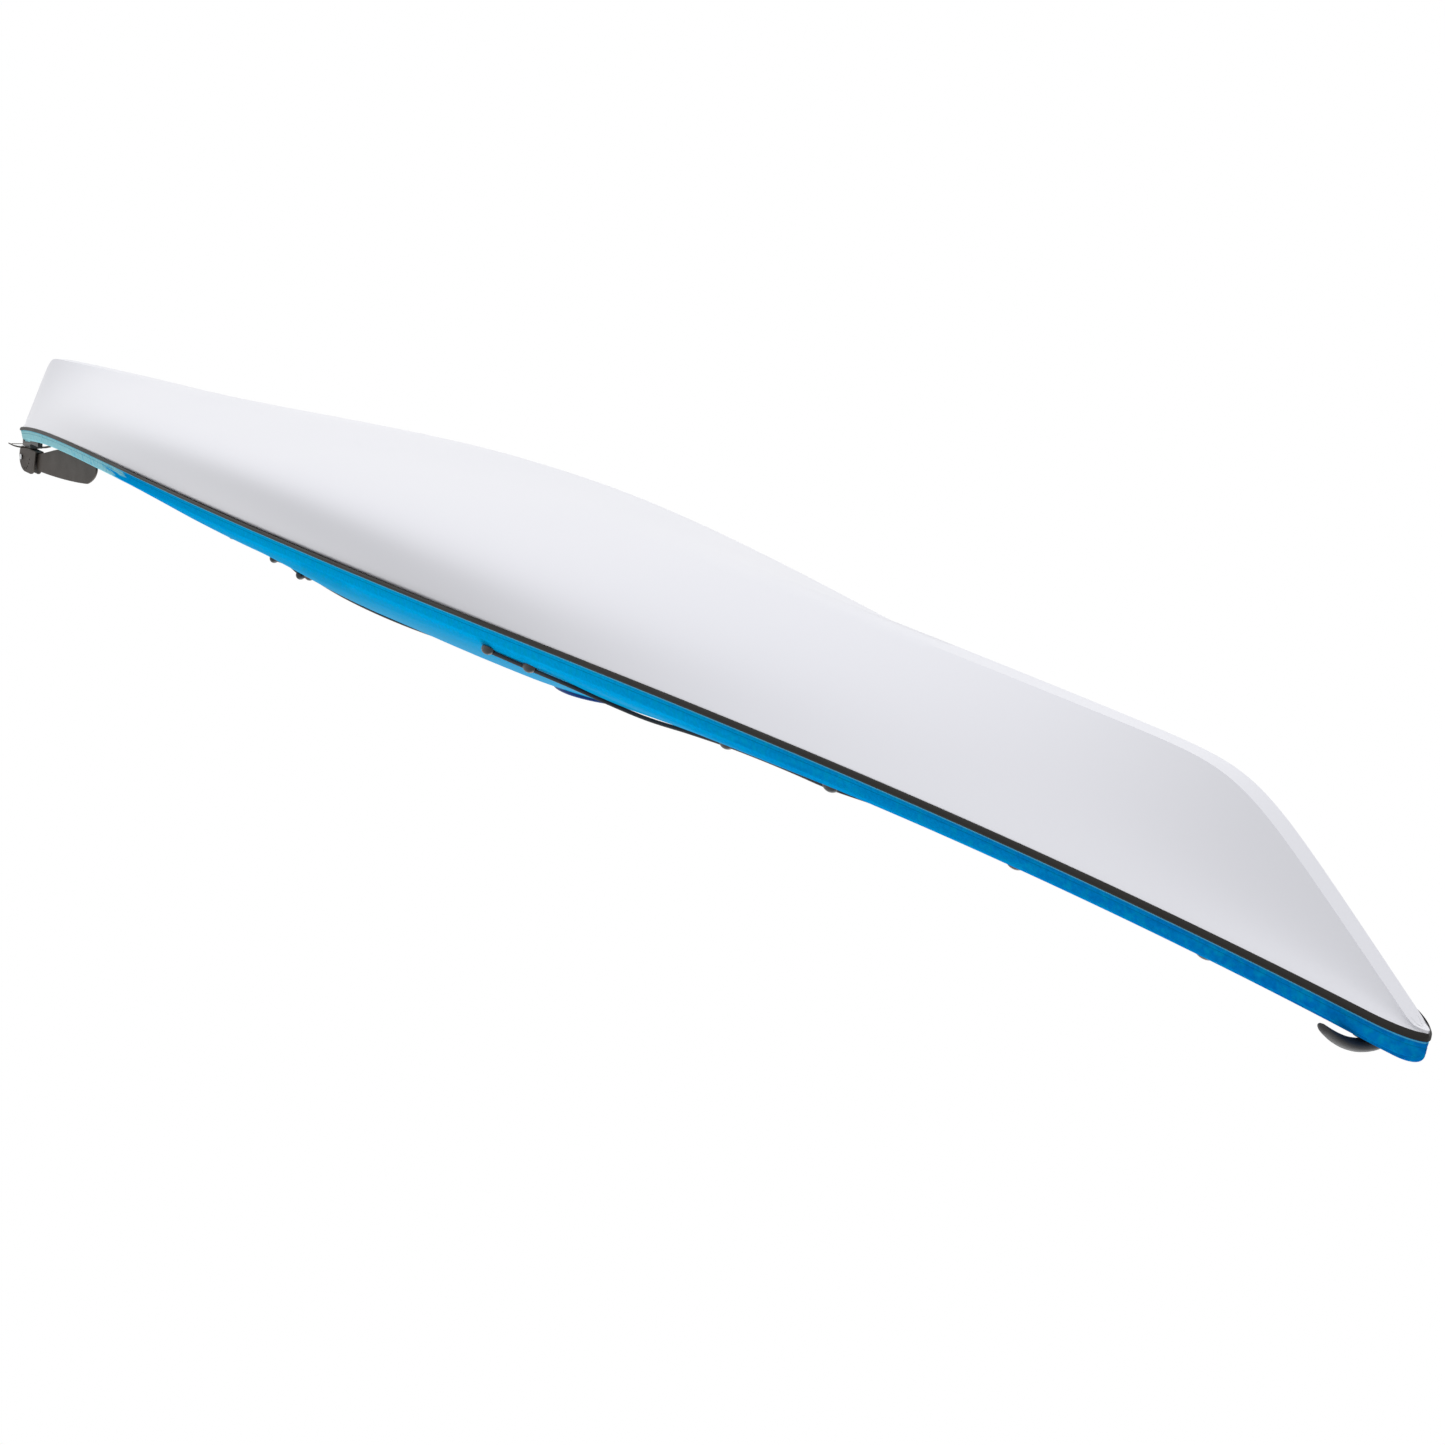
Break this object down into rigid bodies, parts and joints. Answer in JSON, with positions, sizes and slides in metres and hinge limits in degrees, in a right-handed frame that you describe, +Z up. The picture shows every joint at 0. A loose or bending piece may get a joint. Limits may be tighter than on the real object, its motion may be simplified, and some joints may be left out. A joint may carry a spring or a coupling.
{
  "type": "touring kayak",
  "caption": "Two-shell touring kayak with a cockpit, day hatch, end holds with lift-off covers, seat, foot pedals and a steerable rudder that swings up onto the deck.",
  "frame": {"origin": "middle of the flat on the keel, at mid length, where the hull rests on the ground", "axes": "+X towards the bow along the keel, +Y to port, +Z up"},
  "size_m": [4.6262, 0.6104, 0.3449],
  "materials": {
    "hull_white": "glossy white",
    "deck_blue": "glossy blue",
    "cover_navy": "dark blue",
    "seam_black": "charcoal",
    "black_plastic": "satin black",
    "black_rubber": "matt black",
    "foam_grey": "dark grey",
    "cord_black": "black",
    "grey_aluminium": "dark grey coat",
    "steel": "bright",
    "inner_grey": "light grey"
  },
  "bodies": {
    "hull": {"hull_shell": "hull_white", "deck_shell": "deck_blue", "seam_strip": "seam_black", "cockpit_coaming": "black_plastic", "rear_bulkhead": "inner_grey", "front_bulkhead": "inner_grey", "day_pod_tub": "black_plastic", "seat_pan": "black_plastic", "seat_cushion": "foam_grey", "backrest_pin": "steel", "thigh_brace_port": "black_plastic", "thigh_brace_starboard": "black_plastic", "foot_rail_port": "grey_aluminium", "foot_rail_starboard": "grey_aluminium", "cable_tube_port": "black_plastic", "cable_tube_starboard": "black_plastic", "rudder_mount": "black_plastic", "rudder_rest": "black_rubber", "bow_handle": "black_rubber", "bow_handle_base": "black_plastic", "stern_handle": "black_rubber", "stern_handle_base": "black_plastic", "perimeter_line_port": "cord_black", "perimeter_line_starboard": "cord_black", "rear_bungee": "cord_black", "rear_hatch_rim": "black_plastic", "rear_hatch_seal": "black_rubber", "day_hatch_rim": "black_plastic", "day_hatch_seal": "black_rubber", "front_hatch_rim": "black_plastic", "front_hatch_seal": "black_rubber", "bungee_bead_port_1": "black_plastic", "bungee_bead_port_2": "black_plastic", "bungee_bead_starboard_1": "black_plastic", "bungee_bead_starboard_2": "black_plastic"},
    "rudder_head": {"rudder_yoke": "grey_aluminium", "rudder_spacer": "black_plastic", "rudder_pintle": "steel", "cheek_plate_port": "grey_aluminium", "cheek_plate_starboard": "grey_aluminium", "blade_pivot_bolt": "steel"},
    "blade": {"rudder_blade": "grey_aluminium"},
    "port_cable": {"rudder_cable_port": "steel"},
    "starboard_cable": {"rudder_cable_starboard": "steel"},
    "port_pedal": {"foot_pedal_port": "black_plastic", "pedal_cable_port": "steel"},
    "starboard_pedal": {"foot_pedal_starboard": "black_plastic", "pedal_cable_starboard": "steel"},
    "backrest": {"backrest_shell": "black_plastic", "backrest_pad": "foam_grey"},
    "rear_cover": {"rear_hatch_cover": "cover_navy"},
    "day_cover": {"day_hatch_cover": "cover_navy"},
    "front_cover": {"front_hatch_cover": "cover_navy"}
  },
  "joints": [
    {"name": "rudder_swivel", "type": "hinge", "parent": "hull", "child": "rudder_head", "pos_m": [-2.255, 0, 0.281], "axis": [0, 0, 1], "range_deg": [-30, 30]},
    {"name": "blade_lift", "type": "hinge", "parent": "rudder_head", "child": "blade", "pos_m": [-2.3, 0, 0.312], "axis": [0, -1, 0], "range_deg": [0, 254]},
    {"name": "rudder_cable_port_slide", "type": "slide", "parent": "hull", "child": "port_cable", "axis": [0.9904, -0.0499, -0.1287], "range_m": [-0.0273, 0.0273]},
    {"name": "rudder_cable_starboard_slide", "type": "slide", "parent": "hull", "child": "starboard_cable", "axis": [0.9904, 0.0499, -0.1287], "range_m": [-0.0273, 0.0273]},
    {"name": "foot_pedal_port_slide", "type": "slide", "parent": "hull", "child": "port_pedal", "axis": [0.9905, -0.1377, 0], "range_m": [-0.0273, 0.0273]},
    {"name": "foot_pedal_starboard_slide", "type": "slide", "parent": "hull", "child": "starboard_pedal", "axis": [0.9905, 0.1377, 0], "range_m": [-0.0273, 0.0273]},
    {"name": "backrest_tilt", "type": "hinge", "parent": "hull", "child": "backrest", "pos_m": [-0.281, 0, 0.087], "axis": [0, 1, 0], "range_deg": [-10, 55]},
    {"name": "rear_cover_lift", "type": "slide", "parent": "hull", "child": "rear_cover", "axis": [0.0053, 0, 1], "range_m": [0, 0.06]},
    {"name": "day_cover_lift", "type": "slide", "parent": "hull", "child": "day_cover", "axis": [0.0262, 0, 0.9997], "range_m": [0, 0.06]},
    {"name": "front_cover_lift", "type": "slide", "parent": "hull", "child": "front_cover", "axis": [0.0292, 0, 0.9996], "range_m": [0, 0.06]}
  ],
  "couplings": [
    {"joint": "rudder_cable_port_slide", "follows": "rudder_swivel", "m_per_rad": -0.052},
    {"joint": "rudder_cable_starboard_slide", "follows": "rudder_swivel", "m_per_rad": 0.052},
    {"joint": "foot_pedal_port_slide", "follows": "rudder_swivel", "m_per_rad": -0.052},
    {"joint": "foot_pedal_starboard_slide", "follows": "rudder_swivel", "m_per_rad": 0.052}
  ]
}
